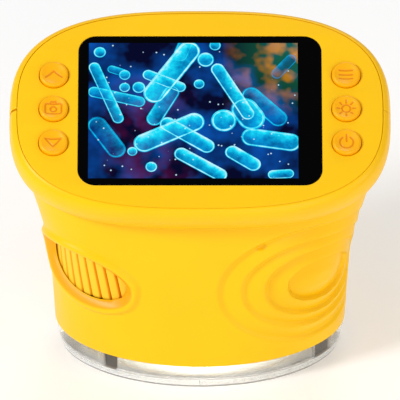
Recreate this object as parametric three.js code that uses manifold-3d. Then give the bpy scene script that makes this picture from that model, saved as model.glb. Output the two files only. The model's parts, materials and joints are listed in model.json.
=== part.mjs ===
// A handheld digital microscope for children: an oval yellow body that flares into a wide
// tilted head with a screen and six buttons, a ribbed focus wheel in its left side, and a
// clear lift-off base. Millimetres, +Z up, front towards -Y, origin at the centre of the foot.
import * as THREE from "three";
import { mergeVertices } from "three/addons/utils/BufferGeometryUtils.js";
import Module from "manifold-3d";

const wasm = await Module();
wasm.setup();

// ---------------------------------------------------------------- driving dimensions
const GAP = 0.3;                                // clearance between two pieces that meet
const WALL = 2.2;                               // shell wall
const TILT = THREE.MathUtils.degToRad(27);      // head tilt from level, screen facing forward
const FACE = new THREE.Vector3(0, -2.22, 75.9);  // centre of the head's top face
const HEAD_POWER = 2.8;                         // superellipse power of the head
const BODY_POWER = 2.0;                         // and of the foot of the body
const FACE_HALF = [50.4, 31.2];                 // parting line round the face plate
const CREASE_DEPTH = 11;                        // head rim meets the neck this far below the face
const CREASE_HALF = [49.7, 30.5];
const BODY_FOOT_Z = 7.8;                        // lower edge of the yellow body
const BODY_HALF = [40.5, 27.5];                 // its half width and half depth there

const PLATE_T = 2.0;                            // face plate thickness
const SCREEN_HALF = [33.55, 23.85];             // black window
const SCREEN_CORNER = 5;
const SCREEN_X = -1.85;                         // middle of the lit picture
const BUTTON_R = 3.95;
const BUTTON_X = 40.25;
const BUTTON_PITCH = 10.8;
const BUTTON_PROUD = 1.0;                       // cap above the face

const WHEEL_X = -18.6;                          // axis of the focus wheel
const WHEEL_R = 21.8;
const WHEEL_Z = [25.1, 39.7];
const WHEEL_RIBS = 46;
const EYE_ANGLE = THREE.MathUtils.degToRad(50); // middle of the wheel's opening, round from -X
const EYE_Z = 32.2;
const EYE_HALF = [14.4, 6.5];                   // half length round the wheel, half height
const EYE_LEAN = THREE.MathUtils.degToRad(-11); // the opening's front end droops
const EYE_BEVEL_R = 22.9;                       // bevel starts this far from the wheel's axis

const GEAR_MODULE = 18.6 / 18;                  // 12 and 24 teeth across the axis distance
const GEAR_Z = [15, 19];
const BARREL_R = 7.4;
const BARREL_Z = [13.5, 20.5];
const DECK_Z = [19.6, 21.2];                    // plate of the optics frame
const COVER_Z = [9.0, 11.0];                    // bottom cover inside the base's spigot
const COVER_HALF = [36.0, 22.7];
const LEG_SPOTS = [[25, 0], [-8, 19], [-8, -19]];
const BASE_FLOOR = 1.4;
const BASE_WALL = 1.8;
const APERTURE_R = 13;                          // hole in the clear floor, under the lens
const SPIGOT_TOP = 12;
const SPIGOT_BORE = [36.4, 23.1];

const BOARD_DEPTH = [7.2, 8.4];                 // main board below the face
const BATTERY_HALF = [26, 16];
const BATTERY_DEPTH = [10.5, 17.5];
const USB_X = -12;
const USB_Z = -5.25;                            // heights in the head, from the face
const CARD_X = 12;
const CARD_Z = -9.6;
const SHELL_SCREWS = [[-35, 50], [35, 50], [-33, 15.8], [33, 15.8]];  // x and height, along Y

// ---------------------------------------------------------------- colours and finishes
function finish(name, color, roughness, metalness = 0) {
  return new THREE.MeshStandardMaterial({ name, color, roughness, metalness });
}
const YELLOW = finish("yellow_shell", 0xfdd124, 0.42);
const FACE_YELLOW = finish("face_yellow", 0xfece37, 0.4);
const ORANGE = finish("button_orange", 0xffbe0a, 0.38);
const WHEEL_YELLOW = finish("wheel_yellow", 0xfdcd3c, 0.45);
const CLEAR = finish("clear_plastic", 0xe8ecec, 0.06);
const BLACK_GLASS = finish("black_window", 0x050506, 0.08);
const LCD = finish("lcd_panel", 0x0a3a78, 0.2);
const FROST = finish("frosted_plastic", 0xf2f2ee, 0.5);
const WHITE = finish("white_plastic", 0xd9d9d4, 0.5);
const BLACK = finish("black_plastic", 0x16171a, 0.45);
const GREEN = finish("board_green", 0x0f5a34, 0.45);
const STEEL = finish("steel", 0xb9bcc0, 0.3, 1);
const SILVER = finish("battery_foil", 0xa9adb2, 0.4, 0.6);
const LENS = finish("lens_glass", 0xcfe0ea, 0.05);
const LED = finish("led_white", 0xfff6d8, 0.3);
const AMBER = finish("ribbon_amber", 0xa8641c, 0.4);

// ---------------------------------------------------------------- solids and booleans
function solid(geometry) {
  const g = geometry.clone();
  g.deleteAttribute("normal");
  g.deleteAttribute("uv");
  const merged = mergeVertices(g, 1e-4);
  const mesh = new wasm.Mesh({
    numProp: 3,
    vertProperties: new Float32Array(merged.attributes.position.array),
    triVerts: new Uint32Array(merged.index.array),
  });
  return new wasm.Manifold(mesh);
}

function geometryOf(manifold) {
  const mesh = manifold.getMesh();
  const g = new THREE.BufferGeometry();
  g.setAttribute("position", new THREE.BufferAttribute(new Float32Array(mesh.vertProperties), 3));
  g.setIndex(new THREE.BufferAttribute(new Uint32Array(mesh.triVerts), 1));
  return g;
}

function joined(first, ...others) {
  return geometryOf(others.reduce((sum, g) => sum.add(solid(g)), solid(first)));
}

function cut(first, ...others) {
  return geometryOf(others.reduce((sum, g) => sum.subtract(solid(g)), solid(first)));
}

// A vertical cylinder or cone between two heights.
function post(x, y, z0, z1, r0, r1 = r0, sides = 24) {
  const g = new THREE.CylinderGeometry(r1, r0, z1 - z0, sides);
  g.rotateX(Math.PI / 2);
  g.translate(x, y, (z0 + z1) / 2);
  return g;
}

function block(x, y, z0, z1, width, depth) {
  const g = new THREE.BoxGeometry(width, depth, z1 - z0);
  g.translate(x, y, (z0 + z1) / 2);
  return g;
}

// A flat ring between two heights: the profile closes on itself.
function ring(x, y, z0, z1, rIn, rOut, sides = 24) {
  const profile = [[rIn, z0], [rOut, z0], [rOut, z1], [rIn, z1], [rIn, z0]];
  const g = new THREE.LatheGeometry(profile.map(([r, z]) => new THREE.Vector2(r, z)), sides);
  g.rotateX(Math.PI / 2);
  g.translate(x, y, 0);
  return g;
}

function prism(shape, z0, z1, curveSegments = 8) {
  const g = new THREE.ExtrudeGeometry(shape, { depth: z1 - z0, bevelEnabled: false, curveSegments });
  g.translate(0, 0, z0);
  return g;
}

function ovalPoints(halfX, halfY, power, count) {
  const points = [];
  for (let i = 0; i < count; i++) {
    const t = (i / count) * 2 * Math.PI;
    const c = Math.cos(t);
    const s = Math.sin(t);
    const x = halfX * Math.sign(c) * Math.abs(c) ** (2 / power);
    const y = halfY * Math.sign(s) * Math.abs(s) ** (2 / power);
    points.push(new THREE.Vector2(x, y));
  }
  return points;
}

function ovalShape(halfX, halfY, power, count = 48) {
  return new THREE.Shape(ovalPoints(halfX, halfY, power, count));
}

function roundedShape(halfX, halfY, corner) {
  const shape = new THREE.Shape();
  shape.absarc(halfX - corner, halfY - corner, corner, 0, Math.PI / 2);
  shape.absarc(-halfX + corner, halfY - corner, corner, Math.PI / 2, Math.PI);
  shape.absarc(-halfX + corner, -halfY + corner, corner, Math.PI, 1.5 * Math.PI);
  shape.absarc(halfX - corner, -halfY + corner, corner, 1.5 * Math.PI, 2 * Math.PI);
  shape.closePath();
  return shape;
}

// Joins closed rings of points, lowest first, into one closed solid. Each end is closed by
// strips between the two halves of its ring, which also suits a ring bent round an axis.
function loft(rings) {
  const count = rings[0].length;
  const positions = rings.flat().flatMap((p) => [p.x, p.y, p.z]);
  const index = [];
  for (let k = 0; k + 1 < rings.length; k++) {
    for (let i = 0; i < count; i++) {
      const j = (i + 1) % count;
      const a = k * count + i;
      const b = k * count + j;
      index.push(a, b, b + count, a, b + count, a + count);
    }
  }
  const top = (rings.length - 1) * count;
  for (let i = 0; i + 1 < count / 2; i++) {
    const [a, b, c, d] = [i, i + 1, count - 2 - i, count - 1 - i];
    index.push(a, c, b, a, d, c, top + a, top + b, top + c, top + a, top + c, top + d);
  }
  const g = new THREE.BufferGeometry();
  g.setAttribute("position", new THREE.Float32BufferAttribute(positions, 3));
  g.setIndex(index);
  return g;
}

// ---------------------------------------------------------------- the body's outline
const SIDES = 40;

function tiltedOval(centreY, centreZ, tilt, halfX, halfY, power) {
  return ovalPoints(halfX, halfY, power, SIDES).map((p) => new THREE.Vector3(
    p.x, centreY + p.y * Math.cos(tilt), centreZ + p.y * Math.sin(tilt)));
}

// Head frame: depth is measured down from the face, square to it.
function headPoint(x, inPlane, depth) {
  return new THREE.Vector3(
    x,
    FACE.y + inPlane * Math.cos(TILT) + depth * Math.sin(TILT),
    FACE.z + inPlane * Math.sin(TILT) - depth * Math.cos(TILT));
}

// The body fans from its level foot (u = 0) to the head's tilted crease (u = 1).
function bodyHalfWidth(z) {
  const flare = Math.max(0, z - 30) / 36;
  return BODY_HALF[0] + 0.055 * (z - BODY_FOOT_Z) + 6.1 * flare ** 1.35;
}

function bodyRing(u, inset) {
  const foot = [-BODY_HALF[1], BODY_HALF[1]];
  const front = headPoint(0, -CREASE_HALF[1], CREASE_DEPTH);
  const back = headPoint(0, CREASE_HALF[1], CREASE_DEPTH);
  const y0 = THREE.MathUtils.lerp(foot[0], front.y, u);
  const y1 = THREE.MathUtils.lerp(foot[1], back.y, u);
  const z0 = THREE.MathUtils.lerp(BODY_FOOT_Z, front.z, u);
  const z1 = THREE.MathUtils.lerp(BODY_FOOT_Z, back.z, u);
  const middleZ = (z0 + z1) / 2;
  const power = THREE.MathUtils.lerp(BODY_POWER, HEAD_POWER, Math.max(u, 0));
  return tiltedOval((y0 + y1) / 2, middleZ, Math.atan2(z1 - z0, y1 - y0),
    bodyHalfWidth(middleZ) - inset, Math.hypot(y1 - y0, z1 - z0) / 2 - inset, power);
}

function headRing(depth, halfX, halfY) {
  const centre = headPoint(0, 0, depth);
  return tiltedOval(centre.y, centre.z, TILT, halfX, halfY, HEAD_POWER);
}

// Head rim, crease to face: [depth, how far it stands outside the parting line].
const RIM_OUTSIDE = [[10.2, 0.5], [8, 1.8], [4.5, 2.2], [1.6, 1.7], [0.4, 0.8], [0, 0.25]];
const RIM_INSIDE = [[10.6, -1.9], [8, -0.7], [4.0, -1.6], [2.4, -1.6], [2.4, 0], [-1, 0]];
const BODY_STATIONS = [0, 0.25, 0.5, 0.66, 0.8, 0.92];
const CAVITY_STATIONS = [-0.03, 0.25, 0.55, 0.85];

function rimRings(rim) {
  return rim.map(([depth, out]) => headRing(depth, FACE_HALF[0] + out, FACE_HALF[1] + out));
}

function shellOutside() {
  const rings = BODY_STATIONS.map((u) => bodyRing(u, 0));
  return loft([...rings, headRing(CREASE_DEPTH, ...CREASE_HALF), ...rimRings(RIM_OUTSIDE)]);
}

function shellInside() {
  const rings = CAVITY_STATIONS.map((u) => bodyRing(u, WALL));
  const crease = headRing(CREASE_DEPTH + 1.2, CREASE_HALF[0] - WALL, CREASE_HALF[1] - WALL);
  return loft([...rings, crease, ...rimRings(RIM_INSIDE)]);
}

// The middle of the shell wall, where the screw bosses end.
function bossLimit() {
  return loft([...BODY_STATIONS, 1].map((u) => bodyRing(u, WALL / 2)));
}

// ---------------------------------------------------------------- casings
// Everything in front of the seam (side -1) or behind it (side 1), as a slab along X.
function sideOfSeam(side) {
  const reach = 80;
  const seam = [[0, -10], [0, BODY_FOOT_Z]];
  const crease = headPoint(0, 0, CREASE_DEPTH);
  const top = headPoint(0, 0, -20);
  seam.push([crease.y, crease.z], [top.y, top.z]);
  const line = seam.map(([y, z]) => [y + side * GAP / 2, z]);
  const outline = [...line, [side * reach, line[3][1]], [side * reach, line[0][1]]];
  const shape = new THREE.Shape(outline.map(([y, z]) => new THREE.Vector2(y, z)));
  const g = prism(shape, -60, 60);
  g.rotateX(Math.PI / 2);
  g.rotateZ(Math.PI / 2);
  return g;
}

// The leaf-shaped opening for the wheel, cut radially from the wheel's axis, with a wide
// 45 degree bevel from EYE_BEVEL_R outwards.
function eyeCutter() {
  const steps = 32;
  const rings = [[15, 0], [EYE_BEVEL_R, 0], [EYE_BEVEL_R + 4, 4], [60, 4]].map(([r, grow]) => {
    const points = [];
    for (let i = 0; i < steps; i++) {
      const t = ((i + 0.5) / steps) * 2 * Math.PI;
      const along = (EYE_HALF[0] + grow) * Math.cos(t);
      const across = (EYE_HALF[1] + grow) * Math.sin(t);
      const arc = along * Math.cos(EYE_LEAN) - across * Math.sin(EYE_LEAN);
      const height = along * Math.sin(EYE_LEAN) + across * Math.cos(EYE_LEAN);
      const angle = EYE_ANGLE + arc / EYE_BEVEL_R;
      points.push(new THREE.Vector3(
        WHEEL_X - r * Math.cos(angle), -r * Math.sin(angle), EYE_Z + height));
    }
    return points;
  });
  return loft(rings);
}

function wheelRelief() {
  const zMid = (WHEEL_Z[0] + WHEEL_Z[1]) / 2;
  const half = (WHEEL_Z[1] - WHEEL_Z[0]) / 2 + 0.5;
  return post(WHEEL_X, 0, zMid - half, zMid + half, WHEEL_R + 0.5, WHEEL_R + 0.5, 56);
}

// A horizontal cylinder along Y.
function crossPost(x, z, y0, y1, radius, sides = 20) {
  const g = new THREE.CylinderGeometry(radius, radius, y1 - y0, sides);
  g.translate(x, (y0 + y1) / 2, z);
  return g;
}

function seamY(z) {
  const crease = headPoint(0, 0, CREASE_DEPTH);
  return crease.y * (z - BODY_FOOT_Z) / (crease.z - BODY_FOOT_Z);
}

function lanyardSlot() {
  const g = prism(roundedShape(1.7, 1.0, 0.95), 0, 8, 3);
  g.rotateY(-Math.PI / 2);
  g.rotateX(TILT);
  const spot = headPoint(-44, -6.2, 4.2);
  g.translate(spot.x, spot.y, spot.z);
  return g;
}

function frontShell() {
  let shell = solid(shellOutside()).subtract(solid(shellInside()));
  const limit = solid(bossLimit());
  for (const [x, z] of SHELL_SCREWS) {
    shell = shell.add(limit.intersect(solid(crossPost(x, z, -40, seamY(z), 2.8, 14))));
  }
  shell = shell.intersect(solid(sideOfSeam(-1)));
  for (const [x, z] of SHELL_SCREWS) {
    shell = shell.subtract(solid(crossPost(x, z, seamY(z) - 7.5, seamY(z) + 1, 1.4, 8)));
  }
  shell = shell.subtract(solid(eyeCutter()));
  return geometryOf(shell.subtract(solid(wheelRelief())).subtract(solid(lanyardSlot())));
}

function rearShell() {
  let shell = solid(shellOutside()).subtract(solid(shellInside()));
  const limit = solid(bossLimit());
  for (const [x, z] of SHELL_SCREWS) {
    shell = shell.add(limit.intersect(solid(crossPost(x, z, seamY(z), 45, 3.5, 16))));
  }
  shell = shell.intersect(solid(sideOfSeam(1)));
  for (const [x, z] of SHELL_SCREWS) {
    shell = shell.subtract(solid(crossPost(x, z, seamY(z) - 1, 45, 1.5, 8)));
    shell = shell.subtract(solid(crossPost(x, z, seamY(z) + 3.5, 45, 2.7, 12)));
  }
  shell = shell.subtract(solid(wheelRelief()));
  for (const [x, z, width, height] of [[USB_X, USB_Z, 9.8, 4.0], [CARD_X, CARD_Z, 12.4, 1.6]]) {
    shell = shell.subtract(solid(inHead(block(x, 32, z - height / 2, z + height / 2, width, 10))));
  }
  return geometryOf(shell);
}

// Moves a piece made about the face centre (z up out of the face) into the tilted head.
function inHead(geometry) {
  geometry.rotateX(TILT);
  geometry.translate(FACE.x, FACE.y, FACE.z);
  return geometry;
}

function facePlate() {
  const halfX = FACE_HALF[0] - GAP;
  const halfY = FACE_HALF[1] - GAP;
  const plate = prism(ovalShape(halfX, halfY, HEAD_POWER, SIDES), -PLATE_T, 0);
  const seat = prism(roundedShape(SCREEN_HALF[0] + GAP, SCREEN_HALF[1] + GAP, SCREEN_CORNER), -1.3, 1);
  const hole = prism(roundedShape(SCREEN_HALF[0] - 2, SCREEN_HALF[1] - 1.6, 3), -4, 1, 4);
  const buttonHoles = buttonSpots().map(([, x, y]) => post(x, y, -4, 1, 4.25, 4.25, 18));
  return cut(plate, seat, hole, ...buttonHoles);
}

function buttonSpots() {
  const left = ["up", "camera", "down"];
  const right = ["menu", "light", "power"];
  const spots = [];
  for (const [names, x] of [[left, -BUTTON_X], [right, BUTTON_X]]) {
    names.forEach((name, row) => spots.push([name, x, (1 - row) * BUTTON_PITCH]));
  }
  return spots;
}

// A button: domed cap, flange that keeps it under the face plate, and stem.
function button() {
  const profile = [
    [0, -3.6], [1.6, -3.6], [1.6, -3.1], [5.0, -3.1], [5.0, -2.3], [BUTTON_R, -2.3],
    [BUTTON_R, 0.4], [BUTTON_R - 0.7, BUTTON_PROUD], [0, BUTTON_PROUD - 0.1],
  ];
  const g = new THREE.LatheGeometry(profile.map(([r, z]) => new THREE.Vector2(r, z)), 18);
  g.rotateX(Math.PI / 2);
  return g;
}

function tactSwitch() {
  return joined(block(0, 0, -6.9, -5.2, 6, 6), post(0, 0, -5.3, -4.5, 1.2, 1.2, 8));
}

// ---------------------------------------------------------------- clear base
function baseRing(z, halfX, halfY) {
  return tiltedOval(0, z, 0, halfX, halfY, BODY_POWER);
}

function clearBase() {
  const top = BODY_FOOT_Z - GAP;
  const outside = loft([
    baseRing(0, 38.3, 25.6), baseRing(0.9, 39.2, 26.4), baseRing(top, BODY_HALF[0], BODY_HALF[1])]);
  const spigotHalf = [BODY_HALF[0] - WALL - GAP, BODY_HALF[1] - WALL - 0.7];
  const spigot = loft([baseRing(top - 2, ...spigotHalf), baseRing(SPIGOT_TOP, ...spigotHalf)]);
  const inside = loft([
    baseRing(BASE_FLOOR, 39.3 - BASE_WALL, 26.5 - BASE_WALL), baseRing(top - 1.8, 38.4, 25.6),
    baseRing(top - 0.4, ...SPIGOT_BORE), baseRing(SPIGOT_TOP + 1, ...SPIGOT_BORE)]);
  let base = solid(outside).add(solid(spigot)).subtract(solid(inside));
  const wallSolid = solid(outside).subtract(solid(loft([
    baseRing(-1, 35.4, 22.4), baseRing(top + 1, 35.4, 22.4)])));
  for (const [x, y] of [[-24.7, -1], [32.9, -1], [-32.9, 1], [24.7, 1]]) {
    base = base.add(wallSolid.intersect(solid(block(x, y * 15, 0.6, top - 0.6, 3.7, 30))));
  }
  return geometryOf(base.subtract(solid(post(0, 0, -1, 3, APERTURE_R, APERTURE_R, 32))));
}

// ---------------------------------------------------------------- focus drive
function ribbedWheel() {
  const shape = new THREE.Shape();
  const depth = 0.9;
  for (let i = 0; i < WHEEL_RIBS; i++) {
    const pitch = (2 * Math.PI) / WHEEL_RIBS;
    const spots = [[0, WHEEL_R], [0.62, WHEEL_R], [0.81, WHEEL_R - depth]];
    for (const [part, r] of spots) {
      const a = (i + part) * pitch;
      const point = [r * Math.cos(a), r * Math.sin(a)];
      if (i === 0 && part === 0) {
        shape.moveTo(...point);
      } else {
        shape.lineTo(...point);
      }
    }
  }
  shape.closePath();
  const bore = new THREE.Path();
  bore.absarc(0, 0, 2.3, 0, 2 * Math.PI, true);
  shape.holes.push(bore);
  const g = prism(shape, WHEEL_Z[0], WHEEL_Z[1], 10);
  g.translate(WHEEL_X, 0, 0);
  return g;
}

// Slim teeth with plenty of clearance, so that the pair turns freely.
function gear(teeth, bore, turn) {
  const pitchR = (teeth * GEAR_MODULE) / 2;
  const shape = new THREE.Shape();
  const spots = [[-0.25, -1.15], [-0.15, 0.7], [0.15, 0.7], [0.25, -1.15]];
  for (let i = 0; i < teeth; i++) {
    for (const [part, radial] of spots) {
      const a = ((i + part) * 2 * Math.PI) / teeth + turn;
      const r = pitchR + radial * GEAR_MODULE;
      const point = [r * Math.cos(a), r * Math.sin(a)];
      if (i === 0 && part < -0.2) {
        shape.moveTo(...point);
      } else {
        shape.lineTo(...point);
      }
    }
  }
  shape.closePath();
  const hole = new THREE.Path();
  hole.absarc(0, 0, bore, 0, 2 * Math.PI, true);
  shape.holes.push(hole);
  return prism(shape, GEAR_Z[0], GEAR_Z[1], 12);
}

function drivePinion() {
  const g = gear(12, 2.3, 0);
  g.translate(WHEEL_X, 0, 0);
  return g;
}

function focusGearRing() {
  return gear(24, BARREL_R + 0.4, Math.PI / 24);
}

function wheelBracket() {
  const z = [40.5, 42.1];
  const bar = block(WHEEL_X, 0, z[0], z[1], 10, 40);
  const arm = block(WHEEL_X / 2 + 2, 0, z[0], z[1], 24, 8);
  return cut(joined(bar, arm), post(WHEEL_X, 0, z[0] - 1, z[1] + 1, 3.9));
}

function bush(z0, z1, flangeZ) {
  const sleeve = ring(WHEEL_X, 0, z0, z1, 2.3, 3.6, 16);
  return joined(sleeve, ring(WHEEL_X, 0, flangeZ, flangeZ + 0.8, 2.3, 4.8, 16));
}

function opticsFrame() {
  const deck = prism(ovalShape(38.2, 23.9, BODY_POWER, 32), DECK_Z[0], DECK_Z[1]);
  const legs = LEG_SPOTS.map(([x, y]) => post(x, y, COVER_Z[1] + GAP, DECK_Z[0] + 0.5, 2.8, 2.8, 12));
  const pegs = [];
  for (const x of [-9, 9]) {
    for (const y of [-9, 9]) {
      pegs.push(post(x, y, DECK_Z[1] - 0.5, 23.1, 1.4, 1.4, 8));
    }
  }
  const screwHoles = LEG_SPOTS.map(([x, y]) => post(x, y, COVER_Z[1], 17, 1.3, 1.3, 8));
  return cut(joined(deck, ...legs, ...pegs),
    post(0, 0, DECK_Z[0] - 1, DECK_Z[1] + 1, BARREL_R + 0.4, BARREL_R + 0.4, 24),
    post(WHEEL_X, 0, DECK_Z[0] - 1, DECK_Z[1] + 1, 3.9), ...screwHoles);
}

function bottomCover() {
  const plate = prism(ovalShape(...COVER_HALF, BODY_POWER, 40), COVER_Z[0], COVER_Z[1]);
  const holes = LEG_SPOTS.flatMap(([x, y]) => [
    post(x, y, COVER_Z[0] - 1, COVER_Z[1] + 1, 1.5, 1.5, 8),
    post(x, y, COVER_Z[0] - 1, COVER_Z[0] + 0.9, 2.7, 2.7, 12)]);
  return cut(plate, post(0, 0, COVER_Z[0] - 1, COVER_Z[1] + 1, 14.4, 14.4, 28), ...holes);
}

// A pan-head screw standing on the origin, head down, with a cross recess.
function screw(headR, headT, shaftR, length) {
  const body = joined(post(0, 0, 0, headT, headR, headR, 12),
    post(0, 0, headT - 0.1, length, shaftR, shaftR, 8));
  return cut(body, block(0, 0, -1, 0.6, 2.4, 0.6), block(0, 0, -1, 0.6, 0.6, 2.4));
}

function lensShape(radius, thickness) {
  const profile = [];
  const steps = 3;
  for (let i = 0; i <= steps; i++) {
    const r = (radius * i) / steps;
    profile.push(new THREE.Vector2(r, -thickness / 2 + 0.5 * (r / radius) ** 2));
  }
  for (let i = steps; i >= 0; i--) {
    const r = (radius * i) / steps;
    profile.push(new THREE.Vector2(r, thickness / 2 - 0.5 * (r / radius) ** 2));
  }
  const g = new THREE.LatheGeometry(profile, 16);
  g.rotateX(Math.PI / 2);
  return g;
}

// A flat ribbon that follows hand-placed points in a plane across X.
function ribbon(points, width, thickness) {
  const path = new THREE.CatmullRomCurve3(points, false, "centripetal");
  const half = [thickness / 2, width / 2];
  const section = new THREE.Shape([
    new THREE.Vector2(-half[1], -half[0]), new THREE.Vector2(half[1], -half[0]),
    new THREE.Vector2(half[1], half[0]), new THREE.Vector2(-half[1], half[0])]);
  return new THREE.ExtrudeGeometry(section, { steps: 14, bevelEnabled: false, extrudePath: path });
}

// ---------------------------------------------------------------- assembly
const microscope = new THREE.Group();
const head = new THREE.Group();
head.position.copy(FACE);
head.rotation.x = TILT;
microscope.add(head);

function add(parent, name, geometry, material, position = [0, 0, 0]) {
  const mesh = new THREE.Mesh(geometry, material);
  mesh.name = name;
  mesh.position.set(...position);
  parent.add(mesh);
  return mesh;
}

add(microscope, "clear_base", clearBase(), CLEAR);
add(microscope, "front_shell", frontShell(), YELLOW);
add(microscope, "rear_shell", rearShell(), YELLOW);
add(microscope, "bottom_cover", bottomCover(), WHITE);
add(microscope, "optics_frame", opticsFrame(), BLACK);
add(microscope, "wheel_bracket", wheelBracket(), BLACK);

add(head, "face_plate", facePlate(), FACE_YELLOW);
add(head, "screen_window",
  prism(roundedShape(SCREEN_HALF[0], SCREEN_HALF[1], SCREEN_CORNER - GAP), -1.0, -0.05), BLACK_GLASS);
add(head, "display_glass", block(SCREEN_X, 0, -4.2, -2.4, 62, 46), LCD);
add(head, "backlight_unit", block(SCREEN_X, 0, -6.6, -4.5, 64, 47), WHITE);
add(head, "main_board",
  prism(ovalShape(46.5, 27, HEAD_POWER, 32), -BOARD_DEPTH[1], -BOARD_DEPTH[0]), GREEN);
add(head, "main_chip", block(-8, 4, -9.9, -8.7, 12, 12), BLACK);
add(head, "battery", block(0, 0, -BATTERY_DEPTH[1], -BATTERY_DEPTH[0], ...BATTERY_HALF.map((h) => 2 * h)),
  SILVER);
const usbBody = prism(roundedShape(4.5, 1.6, 1.5), 0, 7.2, 3).rotateX(Math.PI / 2);
const usbMouth = prism(roundedShape(4.1, 1.2, 1.1), -1, 5, 3).rotateX(Math.PI / 2);
add(head, "usb_port", cut(usbBody, usbMouth), STEEL, [USB_X, 31.6, USB_Z]);
add(head, "card_holder",
  cut(block(0, 0, -0.9, 0.9, 14, 12), block(0, 3, -0.5, 0.5, 11.6, 12)), STEEL, [CARD_X, 22.5, CARD_Z]);

for (const [name, x, y] of buttonSpots()) {
  add(head, `button_${name}`, button(), ORANGE, [x, y, 0]);
  add(head, `tact_switch_${name}`, tactSwitch(), BLACK, [x, y, 0]);
}

add(microscope, "focus_wheel", ribbedWheel(), WHEEL_YELLOW);
add(microscope, "wheel_shaft", post(WHEEL_X, 0, 12.5, 43, 2.0), STEEL);
add(microscope, "drive_pinion", drivePinion(), WHITE);
add(microscope, "upper_bush", bush(40.5, 42.8, 42.4), FROST);
add(microscope, "lower_bush", bush(19.8, 22.4, 21.5), FROST);
add(microscope, "focus_gear_ring", focusGearRing(), WHITE);

add(microscope, "lens_barrel",
  ring(0, 0, BARREL_Z[0], BARREL_Z[1], 5.6, BARREL_R), BLACK);
add(microscope, "front_lens", lensShape(5.2, 2.4), LENS, [0, 0, 15.6]);
add(microscope, "rear_lens", lensShape(5.2, 1.8), LENS, [0, 0, 18.6]);
add(microscope, "lens_retainer", ring(0, 0, 12.4, 13.2, 4.2, 7.0, 24), BLACK);
add(microscope, "image_sensor", block(0, 0, 22.4, 23.1, 8, 8), BLACK);
add(microscope, "sensor_board", block(0, 0, 23.4, 24.4, 22, 22), GREEN);
add(microscope, "led_board", ring(0, 0, 12.6, 13.8, 8.8, 15.2), WHITE);
add(microscope, "light_diffuser", ring(0, 0, 9.2, 10.4, 8.5, 14.0), FROST);
const LED_COUNT = 6;
for (let i = 0; i < LED_COUNT; i++) {
  const a = ((i + 0.5) * 2 * Math.PI) / LED_COUNT;
  add(microscope, `led_${i + 1}`, block(12 * Math.cos(a), 12 * Math.sin(a), 11.2, 12.3, 2.8, 2.8), LED);
}

SHELL_SCREWS.forEach(([x, z], i) => {
  const g = screw(2.4, 1.5, 1.1, 9.5);
  g.rotateX(Math.PI / 2);
  add(microscope, `shell_screw_${i + 1}`, g, STEEL, [x, seamY(z) + 5.3, z]);
});
LEG_SPOTS.forEach(([x, y], i) => {
  add(microscope, `cover_screw_${i + 1}`, screw(2.4, 1.2, 1.0, 6), STEEL, [x, y, COVER_Z[0] - 0.6]);
});

const V = THREE.Vector3;
add(microscope, "camera_ribbon",
  ribbon([new V(11.5, 0, 23.9), new V(16, 0, 24.2), new V(19, 0.5, 30), new V(24, 2, 45),
    new V(32, 4, 58), new V(34, 3, 64)], 7, 0.6), AMBER);
add(microscope, "battery_lead",
  ribbon([headPoint(26.6, 6, 14), headPoint(29, 6, 13.6), headPoint(30.5, 6, 11.5),
    headPoint(30.5, 6, 8.9)], 4, 1.2), BLACK);

export default microscope;
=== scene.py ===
import json
import math

import bmesh
import bpy
import numpy as np
from mathutils import Matrix, Vector


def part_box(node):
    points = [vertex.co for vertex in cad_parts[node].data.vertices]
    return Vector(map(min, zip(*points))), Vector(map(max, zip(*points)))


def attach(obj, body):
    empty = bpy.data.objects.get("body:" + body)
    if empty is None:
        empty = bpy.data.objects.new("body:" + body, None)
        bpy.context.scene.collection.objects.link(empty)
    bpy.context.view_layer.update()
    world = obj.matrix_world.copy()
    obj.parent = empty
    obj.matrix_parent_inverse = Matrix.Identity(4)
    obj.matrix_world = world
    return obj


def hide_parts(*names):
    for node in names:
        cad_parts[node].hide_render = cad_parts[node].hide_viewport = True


# Looks of the children's microscope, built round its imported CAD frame. The scene is in metres.
# The shape functions work in millimetres, and MM turns one into the other.
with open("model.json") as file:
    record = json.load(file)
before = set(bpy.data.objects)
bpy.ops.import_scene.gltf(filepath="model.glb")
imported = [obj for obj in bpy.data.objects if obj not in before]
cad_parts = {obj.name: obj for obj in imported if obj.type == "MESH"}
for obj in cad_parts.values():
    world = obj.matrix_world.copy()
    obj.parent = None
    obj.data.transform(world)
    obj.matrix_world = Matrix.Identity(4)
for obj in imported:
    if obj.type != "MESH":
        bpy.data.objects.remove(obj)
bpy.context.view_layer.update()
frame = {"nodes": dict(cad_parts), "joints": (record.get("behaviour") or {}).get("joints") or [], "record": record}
MM = 0.001

# -------- sizes read from the frame
JOINTS = {joint["name"]: joint for joint in frame["joints"]}
PRESS_AXIS = JOINTS["press_up"]["axis"]
TILT = math.atan2(PRESS_AXIS[1], -PRESS_AXIS[2])
SIN, COS = math.sin(TILT), math.cos(TILT)


def node_box(name):
    """A node's lowest and highest corners in millimetres."""
    low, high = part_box(name)
    return np.array(low) / MM, np.array(high) / MM


def middle(name):
    low, high = node_box(name)
    return (low + high) / 2


PLATE_T = 2.0
FACE = middle("face_plate") + PLATE_T / 2 * np.array([0, -SIN, COS])  # the face's centre
PLATE_HALF_X = node_box("face_plate")[1][0]
GAP = 0.3
FACE_HALF = (PLATE_HALF_X + GAP, 31.2)  # half width and half length of the face's opening
HEAD_POWER = 2.8  # superellipse powers of the head and the foot
BODY_POWER = 2.0
CREASE_DEPTH = 11.0  # where the body runs into the head, below the face
CREASE_HALF = (49.7, 30.5)
FOOT_Z = node_box("front_shell")[0][2]
FOOT_HALF = (40.5, 27.5)
FLARE_Z = 30.0  # the body widens faster above this height
FLARE_SPAN = 36.0
FLARE_WIDTH = 6.1
FLARE_POWER = 1.35
SIDE_SLOPE = 0.055
WALL = 2.0
SEAM = 0.1  # half of the gap between the shells at their ends
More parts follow.
